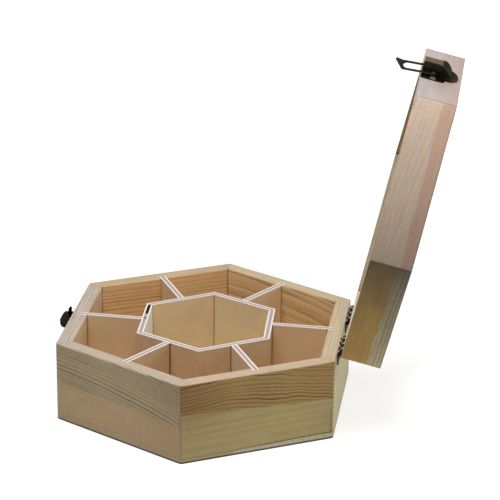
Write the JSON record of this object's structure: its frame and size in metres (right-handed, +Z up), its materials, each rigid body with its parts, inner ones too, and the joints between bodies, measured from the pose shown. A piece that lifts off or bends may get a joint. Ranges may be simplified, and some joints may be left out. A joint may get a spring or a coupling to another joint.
{
  "type": "glass-lid jewelry box",
  "caption": "Hexagonal wooden jewelry box with a hinged glass lid, a middle compartment ringed by divided compartments, and a lever latch on the front.",
  "frame": {"origin": "centre of the underside of the box, on the surface it stands on", "axes": "+Z up, -Y out through the front wall that carries the catch, +Y out through the back wall that carries the hinges, two corners of the hexagon on the X axis; the lid stands open at 103 degrees"},
  "size_m": [0.2488, 0.3094, 0.2882],
  "materials": {
    "pine": "bare sanded pine, warm tan with darker grain",
    "plywood": "bare three-ply plywood, pale faces, darker middle ply",
    "glass": "clear float glass",
    "bronze": "dark antique bronze plating, brassy on worn edges",
    "steel": "bright plated steel, slightly worn"
  },
  "bodies": {
    "base": {"base_wall_back_right": "pine", "base_wall_back": "pine", "base_wall_back_left": "pine", "base_wall_front_left": "pine", "base_wall_front": "pine", "base_wall_front_right": "pine", "bottom_panel": "plywood", "ring_panel_back_right": "plywood", "ring_panel_back": "plywood", "ring_panel_back_left": "plywood", "ring_panel_front_left": "plywood", "ring_panel_front": "plywood", "ring_panel_front_right": "plywood", "divider_back_right": "plywood", "divider_back": "plywood", "divider_back_left": "plywood", "divider_front_left": "plywood", "divider_front": "plywood", "divider_front_right": "plywood", "hinge_left_base_leaf": "bronze", "hinge_left_pin": "bronze", "hinge_right_base_leaf": "bronze", "hinge_right_pin": "bronze", "hinge_base_screws": "bronze", "catch": "bronze", "catch_screws": "bronze"},
    "lid": {"lid_wall_back_right": "pine", "lid_wall_back": "pine", "lid_wall_back_left": "pine", "lid_wall_front_left": "pine", "lid_wall_front": "pine", "lid_wall_front_right": "pine", "glass_pane": "glass", "glass_bead_back_right": "pine", "glass_bead_back": "pine", "glass_bead_back_left": "pine", "glass_bead_front_left": "pine", "glass_bead_front": "pine", "glass_bead_front_right": "pine", "hinge_left_lid_leaf": "bronze", "hinge_right_lid_leaf": "bronze", "hinge_lid_screws": "bronze", "latch_plate": "bronze", "lever_pin": "steel", "latch_plate_screws": "steel"},
    "lever": {"latch_lever": "bronze", "loop_pin": "steel"},
    "loop": {"latch_loop": "bronze"}
  },
  "joints": [
    {"name": "lid_hinge", "type": "hinge", "parent": "base", "child": "lid", "pos_m": [0, 0.11175, 0.064], "axis": [1, 0, 0], "range_deg": [0, 103]},
    {"name": "lever_pivot", "type": "hinge", "parent": "lid", "child": "lever", "pos_m": [0, 0.16649, 0.28331], "axis": [1, 0, 0], "range_deg": [0, 100]},
    {"name": "loop_pivot", "type": "hinge", "parent": "lever", "child": "loop", "pos_m": [0, 0.17088, 0.27922], "axis": [1, 0, 0], "range_deg": [-125, 0]}
  ],
  "couplings": [
    {"joint": "loop_pivot", "follows": "lever_pivot", "ratio": -1.25}
  ]
}
